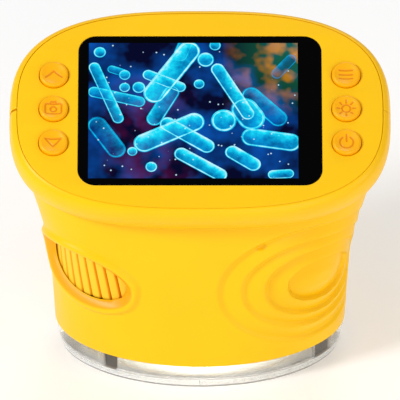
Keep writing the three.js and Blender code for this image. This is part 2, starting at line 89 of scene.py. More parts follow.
# Depth below the face and outward offset from its opening, up the head's rim.
RIM = [(10.2, 0.45), (8.0, 1.7), (4.5, 2.1), (1.6, 1.62), (0.4, 0.75), (0.0, 0.2)]
RIM_LAND = 2.6  # above this depth the inner wall stays clear of the face plate

WHEEL_LOW, WHEEL_HIGH = node_box("focus_wheel")
WHEEL_X = (WHEEL_LOW[0] + WHEEL_HIGH[0]) / 2
WHEEL_R = (WHEEL_HIGH[0] - WHEEL_LOW[0]) / 2
EYE_ANGLE = math.radians(50)  # the wheel's opening, round the wheel's axis
EYE_Z = 32.2
EYE_HALF = (14.4, 6.5)
EYE_LEAN = math.radians(-11)
EYE_ARC_R = 22.9  # turns its angle into a length along the surface


# -------- small helpers
def srgb(r, g, b):
    """Linear colour from 0 to 255 display values."""
    def lin(v):
        v /= 255
        return v / 12.92 if v <= 0.04045 else ((v + 0.055) / 1.055) ** 2.4
    return (lin(r), lin(g), lin(b), 1.0)


def smooth_step(low, high, value):
    x = np.clip((value - low) / (high - low), 0, 1)
    return x * x * (3 - 2 * x)


def head_point(x, across, depth):
    """A point in the tilted head: across runs up the face, depth goes down from it."""
    return np.array([x, FACE[1] + across * COS + depth * SIN, FACE[2] + across * SIN - depth * COS])


def head_matrix():
    """From face coordinates, X, across and height above the face, to the scene."""
    return Matrix.Translation(Vector(FACE) * MM) @ Matrix.Rotation(TILT, 4, "X")


def new_object(name, vertices, faces, material, sharp):
    """A mesh piece from points in millimetres, shaded smooth up to the sharp angle."""
    mesh = bpy.data.meshes.new(name)
    mesh.from_pydata([tuple(v) for v in np.asarray(vertices) * MM], [], faces)
    mesh.update()
    piece = bpy.data.objects.new(name, mesh)
    bpy.context.scene.collection.objects.link(piece)
    finish_mesh(piece, material, sharp)
    return piece


def finish_mesh(piece, material, sharp):
    """Makes the normals point outwards, shades the mesh and gives it its material."""
    mesh = piece.data
    work = bmesh.new()
    work.from_mesh(mesh)
    bmesh.ops.recalc_face_normals(work, faces=work.faces)
    work.to_mesh(mesh)
    work.free()
    mesh.shade_smooth()
    mesh.set_sharp_from_angle(angle=math.radians(sharp))
    mesh.materials.clear()
    mesh.materials.append(material)


def add_attribute(piece, name, values):
    """One number a vertex, for the material to read."""
    attribute = piece.data.attributes.new(name, "FLOAT", "POINT")
    attribute.data.foreach_set("value", np.asarray(values, dtype=np.float32))


def place(piece, body, slot, *nodes):
    """Rides a piece on its body instead of the CAD nodes that it stands for. The slot is not used."""
    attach(piece, body)
    if nodes:
        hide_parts(*nodes)


def feed(tree, value, socket):
    """Links another node's output to a socket, or sets the socket to a plain value."""
    if isinstance(value, bpy.types.NodeSocket):
        tree.links.new(value, socket)
    else:
        socket.default_value = value


def band_faces(count, sides, closed):
    """Quads between rings of points, each ring closed on itself."""
    faces = []
    for k in range(count if closed else count - 1):
        low, high = k * sides, (k + 1) % count * sides
        for i in range(sides):
            j = (i + 1) % sides
            faces.append([low + i, low + j, high + j, high + i])
    return faces


# -------- materials
class Shader:
    """A Principled material with short ways to add and link nodes."""

    def __init__(self, name):
        self.material = bpy.data.materials.new(name)
        self.material.use_nodes = True
        self.tree = self.material.node_tree
        self.bsdf = self.tree.nodes["Principled BSDF"]
        self.coords = self.tree.nodes.new("ShaderNodeTexCoord").outputs["Object"]

    def node(self, kind, inputs=(), **settings):
        made = self.tree.nodes.new(kind)
        for key, value in settings.items():
            setattr(made, key, value)
        for key, value in dict(inputs).items():
            feed(self.tree, value, made.inputs[key])
        return made

    def link(self, output, socket):
        self.tree.links.new(output, self.bsdf.inputs[socket])

    def set(self, **values):
        for key, value in values.items():
            self.bsdf.inputs[key.replace("_", " ")].default_value = value

    def math(self, operation, a, b=0.0):
        made = self.node("ShaderNodeMath", operation=operation)
        for i, value in enumerate((a, b)):
            feed(self.tree, value, made.inputs[i])
        return made.outputs[0]

    def mix(self, factor, a, b):
        """Blends two colours. The mix node's colour sockets are its inputs 6 and 7, output 2."""
        made = self.node("ShaderNodeMix", data_type="RGBA")
        for index, value in ((0, factor), (6, a), (7, b)):
            feed(self.tree, value, made.inputs[index])
        return made.outputs[2]

    def noise(self, scale, detail=2.0, roughness=0.5):
        return self.noise_at(self.coords, scale, detail, roughness)

    def noise_at(self, vector, scale, detail, roughness=0.5):
        made = self.node("ShaderNodeTexNoise", {
            "Vector": vector, "Scale": scale, "Detail": detail, "Roughness": roughness})
        return made.outputs["Fac"]

    def ramp(self, value, low, high, out_low=0.0, out_high=1.0):
        """Maps low to high onto the outer values, clamped."""
        made = self.node("ShaderNodeMapRange", {
            "Value": value, "From Min": low, "From Max": high, "To Min": out_low, "To Max": out_high})
        return made.outputs["Result"]

    def bump(self, height, strength, distance):
        made = self.node("ShaderNodeBump", {"Height": height, "Strength": strength, "Distance": distance})
        self.link(made.outputs["Normal"], "Normal")

    def worn_edges(self, amount):
        """Where corners stick out and get rubbed by hands."""
        pointed = self.node("ShaderNodeNewGeometry").outputs["Pointiness"]
        return self.math("MULTIPLY", self.ramp(pointed, 0.515, 0.58, 0.0, amount), self.noise(260, 3))

    def attribute(self, name):
        return self.node("ShaderNodeAttribute", attribute_name=name).outputs["Fac"]

    def rough(self, noise, low, high):
        self.link(self.ramp(noise, 0.3, 0.7, low, high), "Roughness")

    def worn(self, shade, edge_color, amount=0.4):
        """Base colour with its sticking-out edges rubbed towards another colour."""
        self.link(self.mix(self.worn_edges(amount), shade, edge_color), "Base Color")


def scaled(color, factor):
    return tuple(c * factor for c in color[:3]) + (1.0,)


def moulded(name, color, roughness, tint=0.05, groove=None, groove_color=None):
    """Moulded plastic: faint colour drift, fine spark-eroded grain and rubbed patches."""
    s = Shader(name)
    drift = s.ramp(s.noise(45, 3), 0.3, 0.7)
    shade = s.mix(drift, scaled(color, 1 - tint), scaled(color, 1 + tint / 2))
    # A named attribute mixes in a second colour: painted shade in the eye's sunk bevel and in the wheel's rib
    # valleys, and the darker engraved symbols on the buttons.
    if groove:
        shade = s.mix(s.attribute(groove), shade, groove_color)
    s.worn(shade, scaled(color, 1.08), 0.3)
    s.rough(s.noise(130, 4, 0.6), roughness - 0.05, roughness + 0.06)
    s.bump(s.noise(5200, 2), 0.25, 0.02 * MM)
    s.set(IOR=1.5, Specular_IOR_Level=0.25)
    return s.material


def metal(name, color, roughness):
    """Brushed metal, streaked along X and Y."""
    s = Shader(name)
    streaks = s.node("ShaderNodeMapping", {"Vector": s.coords, "Scale": (60, 60, 2400)}).outputs[0]
    brushed = s.noise_at(streaks, 1.0, 3.0)
    s.worn(s.mix(brushed, scaled(color, 0.9), scaled(color, 1.08)), scaled(color, 1.2))
    s.rough(brushed, roughness - 0.06, roughness + 0.08)
    s.bump(brushed, 0.2, 0.01 * MM)
    s.set(Metallic=1.0)
    return s.material


def circuit_board(name):
    """Green solder mask over faint raised tracks."""
    s = Shader(name)
    mask, copper = srgb(14, 92, 52), srgb(28, 122, 70)
    cells = s.node("ShaderNodeTexVoronoi", {"Vector": s.coords, "Scale": 420.0},
                   feature="DISTANCE_TO_EDGE")
    tracks = s.ramp(cells.outputs["Distance"], 0.04, 0.08, 1.0, 0.0)
    s.worn(s.mix(tracks, mask, copper), srgb(150, 168, 120))
    s.rough(s.noise(200), 0.3, 0.45)
    s.bump(tracks, 0.4, 0.03 * MM)
    return s.material


def foil(name):
    """The battery's crinkled silver pouch."""
    s = Shader(name)
    s.worn(s.mix(s.noise(80), srgb(168, 172, 177), srgb(198, 201, 205)), srgb(214, 216, 219))
    s.rough(s.noise(60), 0.3, 0.5)
    s.bump(s.noise(240, 3), 0.4, 0.2 * MM)
    s.set(Metallic=0.7)
    return s.material


def film(name):
    """Amber ribbon with its conductors showing as bands."""
    s = Shader(name)
    wave = s.node("ShaderNodeTexWave", {"Vector": s.coords, "Scale": 450.0}, bands_direction="Y")
    bands = wave.outputs["Fac"]
    s.worn(s.mix(bands, srgb(156, 92, 24), srgb(190, 120, 44)), srgb(206, 146, 78))
    s.rough(s.noise(300), 0.28, 0.4)
    s.bump(bands, 0.3, 0.02 * MM)
    return s.material


def clear(name, tint, ior, moulding=False):
    """Clear plastic or glass with faint flow marks. Shadow and diffuse rays go straight through.

    A moulding reads two attributes: edge marks places painted near-black and made half-clear, as painted shade for
    the thin dark lines the clear plastic shows along the foot, the floor's rim and the snap ribs; warm marks cream
    ones.
    """
    s = Shader(name)
    rays = s.node("ShaderNodeLightPath").outputs
    lamp = s.math("MAXIMUM", rays["Is Shadow Ray"], rays["Is Diffuse Ray"])
    through = s.node("ShaderNodeBsdfTransparent", {"Color": (0.99, 0.99, 0.99, 1)}).outputs[0]
    mixed = s.node("ShaderNodeMixShader", {0: lamp, 1: s.bsdf.outputs[0], 2: through}).outputs[0]
    s.tree.links.new(mixed, s.tree.nodes["Material Output"].inputs["Surface"])
    shade = s.mix(s.noise(30), tint, scaled(tint, 0.985))
    shade = s.mix(s.worn_edges(0.2), shade, scaled(tint, 0.97))
    s.set(Transmission_Weight=1.0, IOR=ior)
    if moulding:
        # Painted shade: the edge weight darkens places and makes them half-clear where the clear plastic only
        # looks dark.
        edge = s.attribute("edge")
        shade = s.mix(s.attribute("warm"), shade, CREAM)
        shade = s.mix(edge, shade, PAINTED_SHADE_DARK)
        s.link(s.ramp(edge, 0.0, 1.0, 1.0, 0.15), "Transmission Weight")
    s.link(shade, "Base Color")
    s.rough(s.noise(160, 3), 0.01, 0.035)
    s.bump(s.noise(70, 2), 0.08, 0.04 * MM)
    return s.material


def glowing(name, color, strength):
    """A lit lamp or diffuser."""
    s = Shader(name)
    s.worn(s.mix(s.noise(900), scaled(color, 0.9), color), scaled(color, 0.8))
    s.rough(s.noise(400), 0.3, 0.42)
    s.bump(s.noise(900), 0.1, 0.02 * MM)
    s.set(Emission_Color=color, Emission_Strength=strength)
    return s.material


YELLOW = srgb(255, 199, 0)
FACE_YELLOW = srgb(255, 200, 10)
ORANGE = srgb(255, 182, 0)
# Painted shade and yellow bounce light for the eye's sunk bevel round the wheel; the plastic there is the body's
# yellow.
RECESS_SHADE_ORANGE = srgb(255, 168, 0)
ICON_ORANGE = srgb(232, 142, 0)
# Painted shade: near-black for the thin dark lines round the clear base, which are shade and not a tint of the
# plastic.
PAINTED_SHADE_DARK = (0.04, 0.035, 0.03, 1.0)
CREAM = (1.0, 0.97, 0.84, 1.0)
WHEEL_YELLOW = srgb(255, 204, 40)
# Painted shade for the valleys between the focus wheel's ribs; the wheel is one yellow plastic.
VALLEY_SHADE_ORANGE = srgb(244, 140, 0)
CLEAR_TINT = (0.97, 0.98, 0.98, 1)
GLASS_TINT = (0.93, 0.97, 1.0, 1)

# Maker, name, then the maker's own values.
PALETTE = [
    (moulded, "shell_yellow", YELLOW, 0.36, 0.03, "recess", RECESS_SHADE_ORANGE),
    (moulded, "face_yellow", FACE_YELLOW, 0.38, 0.03),
    (moulded, "button_orange", ORANGE, 0.34, 0.03, "icon", ICON_ORANGE),
    (moulded, "wheel_yellow", WHEEL_YELLOW, 0.4, 0.03, "groove", VALLEY_SHADE_ORANGE),
    (moulded, "frosted_plastic", srgb(236, 236, 232), 0.5),
    (moulded, "white_plastic", srgb(228, 228, 224), 0.45),
    (moulded, "black_plastic", srgb(30, 31, 34), 0.45),
    (moulded, "display", srgb(16, 26, 60), 0.2),
    (clear, "clear_plastic", CLEAR_TINT, 1.49, True),
    (clear, "lens_glass", GLASS_TINT, 1.52),
    (glowing, "lit_diffuser", srgb(255, 251, 240), 4.0),
    (glowing, "led_white", srgb(255, 250, 232), 18.0),
    (metal, "steel", srgb(196, 198, 202), 0.3),
    (circuit_board, "board_green"),
    (foil, "battery_foil"),
    (film, "ribbon_amber"),
]
MATERIALS = {name: make(name, *values) for make, name, *values in PALETTE}


# -------- the body's outline
OVAL_STEPS = 1600


def oval_unit(power, count=OVAL_STEPS):
    """A superellipse's unit outline for t from 0 to 2 pi, anticlockwise from +X."""
    t = np.linspace(0, 2 * math.pi, count + 1)
    c, s = np.cos(t), np.sin(t)
    return np.sign(c) * np.abs(c) ** (2 / power), np.sign(s) * np.abs(s) ** (2 / power)


def half_ring(centre_y, centre_z, tilt, half_x, half_y, power, side, shares):
    """One half of a tilted oval, at the given shares of its length. Side -1 is the front."""
    ux, uy = oval_unit(power)
    keep = uy * side >= -1e-12
    x, y = ux[keep] * half_x, uy[keep] * half_y
    order = np.argsort(x)
    x, y = x[order], y[order]
    length = np.concatenate([[0], np.cumsum(np.hypot(np.diff(x), np.diff(y)))])
    at = shares * length[-1]
    px, py = np.interp(at, length, x), np.interp(at, length, y)
    return np.stack([px, centre_y + py * math.cos(tilt), centre_z + py * math.sin(tilt)], axis=1)


def body_half_width(z):
    flare = max(0.0, z - FLARE_Z) / FLARE_SPAN
    return FOOT_HALF[0] + SIDE_SLOPE * (z - FOOT_Z) + FLARE_WIDTH * flare ** FLARE_POWER


def body_ring(u, inset):
    """Centre Y and Z, tilt, half sizes and power of a section: u is 0 at the foot, 1 at the neck."""
    front = head_point(0, -CREASE_HALF[1], CREASE_DEPTH)
    back = head_point(0, CREASE_HALF[1], CREASE_DEPTH)
    y0, y1 = -FOOT_HALF[1] * (1 - u) + front[1] * u, FOOT_HALF[1] * (1 - u) + back[1] * u
    z0, z1 = FOOT_Z * (1 - u) + front[2] * u, FOOT_Z * (1 - u) + back[2] * u
    middle_z = (z0 + z1) / 2
    power = BODY_POWER + (HEAD_POWER - BODY_POWER) * u
    return ((y0 + y1) / 2, middle_z, math.atan2(z1 - z0, y1 - y0), body_half_width(middle_z) - inset,
            math.hypot(y1 - y0, z1 - z0) / 2 - inset, power)


def head_ring(depth, half_x, half_y):
    """The same for a section of the head, parallel to the face."""
    centre = head_point(0, 0, depth)
    return centre[1], centre[2], TILT, half_x, half_y, HEAD_POWER


def spline(points, per_span):
    """Catmull-Rom through points, with the ends repeated."""
    pts = np.array([points[0], *points, points[-1]], dtype=float)
    out = []
    for i in range(1, len(pts) - 2):
        for t in np.linspace(0, 1, per_span, endpoint=False):
            a, b, c, d = pts[i - 1:i + 3]
            out.append(0.5 * (2 * b + (c - a) * t + (2 * a - 5 * b + 4 * c - d) * t ** 2
                              + (3 * b - a - 3 * c + d) * t ** 3))
    out.append(pts[-2])
    return out


ROW_CROWDING = 0.97


def rim_rows(per_span):
    """Depth and outward offset up the head's rim, from just above the crease to the face."""
    crease = (CREASE_DEPTH, CREASE_HALF[0] - FACE_HALF[0])
    return [tuple(p) for p in spline([crease, *RIM], per_span)][1:]


def shell_rows(body_count, per_span):
    """Outer and inner sections from the foot to the face, a little closer towards the neck."""
    rows = []
    for u in np.linspace(0, 1, body_count) ** ROW_CROWDING:
        rows.append((body_ring(u, 0), body_ring(u, WALL)))
    for depth, out in rim_rows(per_span):
        inner = max(out - WALL, 0.0) if depth < RIM_LAND else out - WALL
        rows.append((head_ring(depth, FACE_HALF[0] + out, FACE_HALF[1] + out),
                     head_ring(depth, FACE_HALF[0] + inner, FACE_HALF[1] + inner)))
    return rows


# -------- marks on the shells
def eye_distance(p):
    """Distance outside the wheel's opening, along the surface."""
    angle = np.arctan2(-p[..., 1], WHEEL_X - p[..., 0])
    arc, height = (angle - EYE_ANGLE) * EYE_ARC_R, p[..., 2] - EYE_Z
    along = arc * math.cos(EYE_LEAN) + height * math.sin(EYE_LEAN)
    across = -arc * math.sin(EYE_LEAN) + height * math.cos(EYE_LEAN)
    k2 = (along / EYE_HALF[0]) ** 2 + (across / EYE_HALF[1]) ** 2
    slope = np.sqrt((along / EYE_HALF[0] ** 2) ** 2 + (across / EYE_HALF[1] ** 2) ** 2) + 1e-6
    near = (k2 - 1) / (2 * slope)
    far = (np.sqrt(k2) - 1) * (EYE_HALF[1] + 2)
    return np.where(k2 > 4, np.maximum(near, far), near)


def box_distance(a, b, half_a, half_b, corner):
    """Distance outside a rounded rectangle."""
    qa, qb = np.abs(a) - half_a + corner, np.abs(b) - half_b + corner
    outside = np.hypot(np.maximum(qa, 0), np.maximum(qb, 0))
    return outside + np.minimum(np.maximum(qa, qb), 0) - corner


def head_coordinates(p):
    """Across and depth of points in the tilted head."""
    dy, dz = p[..., 1] - FACE[1], p[..., 2] - FACE[2]
    return dy * COS + dz * SIN, dy * SIN - dz * COS


def ellipse_radius(a, b, half_a, half_b):
    return np.sqrt((a / half_a) ** 2 + (b / half_b) ** 2)


# Half lengths and half heights of the finger rest's ovals. The last is its flat middle.
RIPPLES = [(31.5, 19.6), (24.8, 14.9), (18.1, 11.2), (11.4, 6.9), (3.0, 1.8)]
RIPPLE_SPOT = (36.0, 31.0)  # round the body from its middle, and height
RIPPLE_DEPTH = 1.5
RIPPLE_EDGE = 0.075
RIPPLE_FADE = (0.6, 0.83)  # shares of the way to the seam where the ripples die out


def ripple_height(p, arc):
    """Overlapping scallops of the finger rest: each edge drops, then climbs back inwards."""
    a, b = arc - RIPPLE_SPOT[0], p[..., 2] - RIPPLE_SPOT[1]
    height = np.zeros(p.shape[:-1])
    for (half_a, half_b), (_, next_b) in zip(RIPPLES, RIPPLES[1:]):
        k = ellipse_radius(a, b, half_a, half_b)
        share = np.clip((1 - k) / (1 - next_b / half_b), 0, 1)
        drop = smooth_step(0, RIPPLE_EDGE, 1 - k) * (1 - share) ** 1.3
        height -= RIPPLE_DEPTH * np.where(k < 1, drop, 0)
    return height


LIP_CLEARANCE = 0.75  # the opening's edge stands this far off the wheel
LIP_HEIGHT = 1.05
LIP_WIDTH = 1.5
LIP_REACH = 12.0
BEVEL_WIDTH = 2.0
BEVEL_CURVE = 0.25
DIMPLE = (17.0, 44.7)  # X and height of the small oval dimple on the front
DIMPLE_HALF = (2.0, 1.15)
DIMPLE_DEPTH = 0.7
STRAP = (-6.2, 4.4)  # across and depth of the strap slot on the left of the rim
STRAP_HALF = (1.9, 1.0)
STRAP_DEPTH = 1.7
LEFT_SIDE = -40.0  # the strap slot is only cut left of this X
FAR = 9.0  # a distance that stands for nowhere near


def marks(p, arc, side):
    """Displacement of the outer surface along its normal, and the weight of the painted shade in the eye's sunk
    bevel.
    """
    height = np.zeros(p.shape[:-1])
    recess = np.zeros(p.shape[:-1])
    if side > 0:
        return height, recess
    height += ripple_height(p, arc) * (1 - smooth_step(*RIPPLE_FADE, arc / arc.max()))
    spot = ellipse_radius(p[..., 0] - DIMPLE[0], p[..., 2] - DIMPLE[1], *DIMPLE_HALF)
    height -= DIMPLE_DEPTH * (1 - smooth_step(0.45, 1.0, spot))
    across, depth = head_coordinates(p)
    slot = ellipse_radius(across - STRAP[0], depth - STRAP[1], *STRAP_HALF)
    slot = np.where(p[..., 0] < LEFT_SIDE, slot, FAR)
    height -= STRAP_DEPTH * (1 - smooth_step(0.75, 1.0, slot))
    s = eye_distance(p)
    edge = WHEEL_R + LIP_CLEARANCE - np.hypot(p[..., 0] - WHEEL_X, p[..., 1])
    climb = np.clip(s / BEVEL_WIDTH, 0, 1)
    bevel = edge + (LIP_HEIGHT - edge) * ((1 + BEVEL_CURVE) * climb - BEVEL_CURVE * climb ** 5)
    lip = LIP_HEIGHT * (1 - smooth_step(0.35, LIP_WIDTH, s - BEVEL_WIDTH))
    height = np.where(s < BEVEL_WIDTH, bevel, np.where(s < LIP_REACH, height + lip, height))
    # weight of the painted shade: 1 over most of the sunk bevel, 0 from just inside its outer edge
    recess = 1 - smooth_step(BEVEL_WIDTH - 0.6, BEVEL_WIDTH - 0.2, s)
    return height, recess


GROOVE_DEPTH = 0.12
GROOVE_WIDTH = 0.3


def seam_groove(distance):
    """A shallow fall of the surface towards the seam."""
    return -GROOVE_DEPTH * (1 - smooth_step(0.0, GROOVE_WIDTH, distance))


# -------- building a shell
def snap(points, others, distance, reach):
    """Moves grid points near a hole's edge onto it, with the same shift for the inner grid.

    Also gives each point's distance outside the hole, with 0 on its edge.
    """
    step = 0.02
    s = distance(points)
    gradient = np.stack([
        (distance(points + step * axis) - s) / step for axis in np.eye(3)], axis=-1)
    normal = surface_normals(points)
    gradient -= normal * np.sum(gradient * normal, axis=-1, keepdims=True)
    size = np.sum(gradient ** 2, axis=-1, keepdims=True) + 1e-9
    shift = -s[..., None] * gradient / size
    move = (np.abs(s) < reach) & (np.linalg.norm(shift, axis=-1) < 2 * reach)
    shift = np.where(move[..., None], shift, 0)
    return points + shift, others + shift, np.where(move, 0.0, s)


def surface_normals(points):
    along_rows, along_cols = np.gradient(points, axis=0), np.gradient(points, axis=1)
    normal = np.cross(along_cols, along_rows)
    return normal / (np.linalg.norm(normal, axis=-1, keepdims=True) + 1e-12)


def grid_faces(rows, cols, fields):
    """Quads of a grid, split into triangles along hole edges, without those inside a hole."""
    flat = np.minimum.reduce(fields).reshape(-1)
    faces = []
    for r in range(rows - 1):
        for c in range(cols - 1):
            a, b = r * cols + c, r * cols + c + 1
            quad = [a, b, b + cols, a + cols]
            values = [flat[i] for i in quad]
            if min(values) > 0:
                faces.append(quad)
            elif max(values) > 1e-9 or min(values) < -1e-9:
                flip = abs(values[1]) + abs(values[3]) < abs(values[0]) + abs(values[2])
                split = [(1, 2, 3), (1, 3, 0)] if flip else [(0, 1, 2), (0, 2, 3)]
                for corner in split:
                    if max(values[i] for i in corner) > 1e-9:
                        faces.append([quad[i] for i in corner])
    return faces


def closed_shell(outer, inner, faces):
    """Joins an outer and an inner grid by walls along every open edge.

    Points that no face needs are dropped, and the ones kept are listed.
    """
    count = outer.reshape(-1, 3).shape[0]
    edges = {}
    for face in faces:
        for i, a in enumerate(face):
            b = face[(i + 1) % len(face)]
            key = (min(a, b), max(a, b))
            edges[key] = None if key in edges else (a, b)
    all_faces = [list(f) for f in faces] + [[i + count for i in reversed(f)] for f in faces]
    for pair in edges.values():
        if pair:
            a, b = pair
            all_faces.append([b, a, a + count, b + count])
    vertices = np.concatenate([outer.reshape(-1, 3), inner.reshape(-1, 3)])
    used = sorted({i for f in all_faces for i in f})
    lookup = {old: new for new, old in enumerate(used)}
    return vertices[used], [[lookup[i] for i in f] for f in all_faces], used


HALF_GIRTH = 118.0  # about the length of a section from seam to seam
SEAM_SHARES = (0.0, 0.0012, 0.003, 0.005)


def half_shell(name, side, columns, body_count, per_span, holes):
    """One half of the housing as a closed shell. Side -1 is the front."""
    rows = shell_rows(body_count, per_span)
    ends = np.array(SEAM_SHARES)
    shares = np.concatenate([ends, np.linspace(0, 1, columns)[1:-1], 1 - ends])
    shares = np.unique(np.round(shares, 6))
    outer = np.stack([half_ring(*o, side, shares) for o, _ in rows])
    inner = np.stack([half_ring(*i, side, shares) for _, i in rows])
    seam_distance = np.minimum(shares, 1 - shares)[None, :] * HALF_GIRTH
    clearance = SEAM * side * (1 - smooth_step(0.0, 1.0, seam_distance))
    outer[..., 1] += clearance
    inner[..., 1] += clearance
    fields = []
    for hole in holes:
        outer, inner, field = snap(outer, inner, hole, 0.55 * HALF_GIRTH / columns)
        fields.append(field)
    step = np.linalg.norm(np.diff(outer, axis=1), axis=-1)
    arc = np.concatenate([np.zeros((len(rows), 1)), np.cumsum(step, axis=1)], axis=1)
    arc -= arc[:, -1:] / 2
    normal = surface_normals(outer) * -side
    height, recess = marks(outer, arc, side)
    shaped = outer + normal * (height + seam_groove(seam_distance))[..., None]
    faces = grid_faces(len(rows), len(shares), fields)
    vertices, faces, used = closed_shell(shaped, clear_of_wheel(inner), faces)
    piece = new_object(name, vertices, faces, MATERIALS["shell_yellow"], 40)
    # the painted shade's weight goes to the material as a point attribute
    weights = np.concatenate([recess.reshape(-1), np.zeros(recess.size)])[used]
    add_attribute(piece, "recess", weights)
    return piece


WHEEL_ROOM = (0.35, 1.2)  # free space round the wheel, and above and below it


def clear_of_wheel(points):
    """Pushes the inner wall out of the focus wheel's way."""
    offset = points[..., :2] - np.array([WHEEL_X, 0])
    radius = np.linalg.norm(offset, axis=-1)
    free = WHEEL_R + WHEEL_ROOM[0]
    low, high = WHEEL_LOW[2] - WHEEL_ROOM[1], WHEEL_HIGH[2] + WHEEL_ROOM[1]
    level = (points[..., 2] > low) & (points[..., 2] < high)
    grow = np.where(level & (radius < free), free / radius, 1.0)
    moved = points.copy()
    moved[..., :2] = np.array([WHEEL_X, 0]) + offset * grow[..., None]
    return moved


def port_hole(node, margin, half_height):
    """Distance outside a rounded opening at the back of the head, a margin wider than a node."""
    centre = middle(node)
    _, centre_depth = head_coordinates(centre)
    low, high = node_box(node)
    half_width = (high[0] - low[0]) / 2 + margin
    corner = min(1.6, half_height * 0.9)

    def distance(p):
        across, depth = head_coordinates(p)
        d = box_distance(p[..., 0] - centre[0], depth - centre_depth, half_width, half_height, corner)
        return np.where(across > 0, d, FAR)
    return distance


SCREW_HOLE_R = 2.6
SCREWS = [f"shell_screw_{i}" for i in (1, 2, 3, 4)]


def screw_hole(node):
    """Distance outside a case screw's round hole in the back."""
    centre = middle(node)

    def distance(p):
        d = np.hypot(p[..., 0] - centre[0], p[..., 2] - centre[2]) - SCREW_HOLE_R
        return np.where(p[..., 1] > 5, d, FAR)
    return distance


FRONT_GRID = (260, 150, 6)  # columns, rows up the body, rows to each span of the rim
REAR_GRID = (240, 120, 6)


def build_shells():
    front = half_shell("front_shell_skin", -1, *FRONT_GRID, [eye_distance])
    place(front, "housing", "shell_yellow", "front_shell")
    holes = [port_hole("usb_port", 0.35, 2.0), port_hole("card_holder", -0.8, 0.9)]
    holes += [screw_hole(node) for node in SCREWS]
    rear = half_shell("rear_shell_skin", 1, *REAR_GRID, holes)
    place(rear, "housing", "shell_yellow", "rear_shell")


def lathe(name, profile, centre, axis, material, sides=48):
    """A solid of revolution: profile pairs are radius and height along the axis."""
    turn = Vector((0, 0, 1)).rotation_difference(Vector(axis)).to_matrix()
    vertices = []
    for i in range(sides):
        a = 2 * math.pi * i / sides
        for r, h in profile:
            vertices.append(np.array(turn @ Vector((r * math.cos(a), r * math.sin(a), h))) + centre)
    return new_object(name, vertices, band_faces(sides, len(profile), True), material, 35)


TUBE_R = 3.5
TUBE_FLOOR = 2.4  # the tube's inner end is this far in from the screw's head


def build_screw_tubes():
    """The moulded tubes that lead the case screws in from the back."""
    for i, node in enumerate(SCREWS, 1):
        centre = middle(node)
        start = node_box(node)[1][1] - TUBE_FLOOR
        end = outside_depth(centre[0], centre[2]) - WALL - 0.1
        bore = SCREW_HOLE_R + 0.05
        tube = [(bore, start), (TUBE_R, start), (TUBE_R, end), (bore, end)]
        piece = lathe(f"screw_tube_{i}", tube, np.array([centre[0], 0, centre[2]]), (0, 1, 0),
                      MATERIALS["shell_yellow"])
        add_attribute(piece, "recess", np.zeros(len(piece.data.vertices)))
        place(piece, "housing", "shell_yellow")


def outside_depth(x, z):
    """Y of the rear shell's outer surface at an X and a height."""
    best = 0.0
    for u in np.linspace(0, 1, 200):
        cy, cz, tilt, hx, hy, power = body_ring(u, 0)
        if abs(x) < hx:
            y = hy * (1 - abs(x / hx) ** power) ** (1 / power)
            if cz + y * math.sin(tilt) <= z:
                best = cy + y * math.cos(tilt)
    return best


# -------- face plate and window
def outline_plate(name, loops, z0, z1, bevel, material):
    """A flat plate in the face's plane, softly rounded along every edge, from closed outlines.

    The first outline is its edge and the others are holes. z0 and z1 are heights over the face.
    """
    curve = bpy.data.curves.new(name, "CURVE")
    curve.dimensions = "2D"
    curve.fill_mode = "BOTH"
    curve.extrude = ((z1 - z0) / 2 - bevel) * MM
    curve.bevel_depth = bevel * MM
    curve.bevel_resolution = 3
    curve.offset = -bevel * MM
    for loop in loops:
        line = curve.splines.new("POLY")
        line.points.add(len(loop) - 1)
        for point, (x, y) in zip(line.points, loop):
            point.co = (x * MM, y * MM, 0, 1)
        line.use_cyclic_u = True
    holder = bpy.data.objects.new(name + "_curve", curve)
    bpy.context.scene.collection.objects.link(holder)
    depsgraph = bpy.context.evaluated_depsgraph_get()
    mesh = bpy.data.meshes.new_from_object(holder.evaluated_get(depsgraph))
    bpy.data.objects.remove(holder)
    mesh.transform(head_matrix() @ Matrix.Translation((0, 0, (z0 + z1) / 2 * MM)))
    mesh.name = name
    work = bmesh.new()
    work.from_mesh(mesh)
    bmesh.ops.remove_doubles(work, verts=work.verts, dist=1e-7)
    work.to_mesh(mesh)
    work.free()
    piece = bpy.data.objects.new(name, mesh)
    bpy.context.scene.collection.objects.link(piece)
    finish_mesh(piece, material, 30)
    return piece


def oval_loop(half_x, half_y, power, count):
    ux, uy = oval_unit(power, count)
    return list(zip(ux[:-1] * half_x, uy[:-1] * half_y))


def circle_loop(x, y, radius, count=72):
    turns = np.arange(count) * 2 * math.pi / count
    return list(zip(x + radius * np.cos(turns), y + radius * np.sin(turns)))


def rounded_loop(half_x, half_y, corner, steps=14):
    points = []
    for quarter, (sx, sy) in enumerate(((1, 1), (-1, 1), (-1, -1), (1, -1))):
        for i in range(steps + 1):
            a = math.pi / 2 * (quarter + i / steps)
            x = sx * (half_x - corner) + corner * math.cos(a)
            points.append((x, sy * (half_y - corner) + corner * math.sin(a)))
    return points


BUTTONS = ("up", "camera", "down", "menu", "light", "power")
BUTTON_HOLE_R = 4.14
PLATE_BEVEL = 0.2
PLATE_GROWTH = 0.18  # the looks close most of the clearance round the plate
WINDOW_HALF = (33.55, 23.85)
WINDOW_CORNER = 5.0
WINDOW_GAP = 0.08
WINDOW_LEVELS = (-1.3, -0.1)
WINDOW_BEVEL = 0.12


def button_spot(name):
    """A button's centre in the face plane."""
    centre = middle(f"button_{name}")
    across, _ = head_coordinates(centre)
    return centre[0], round(float(across), 3)


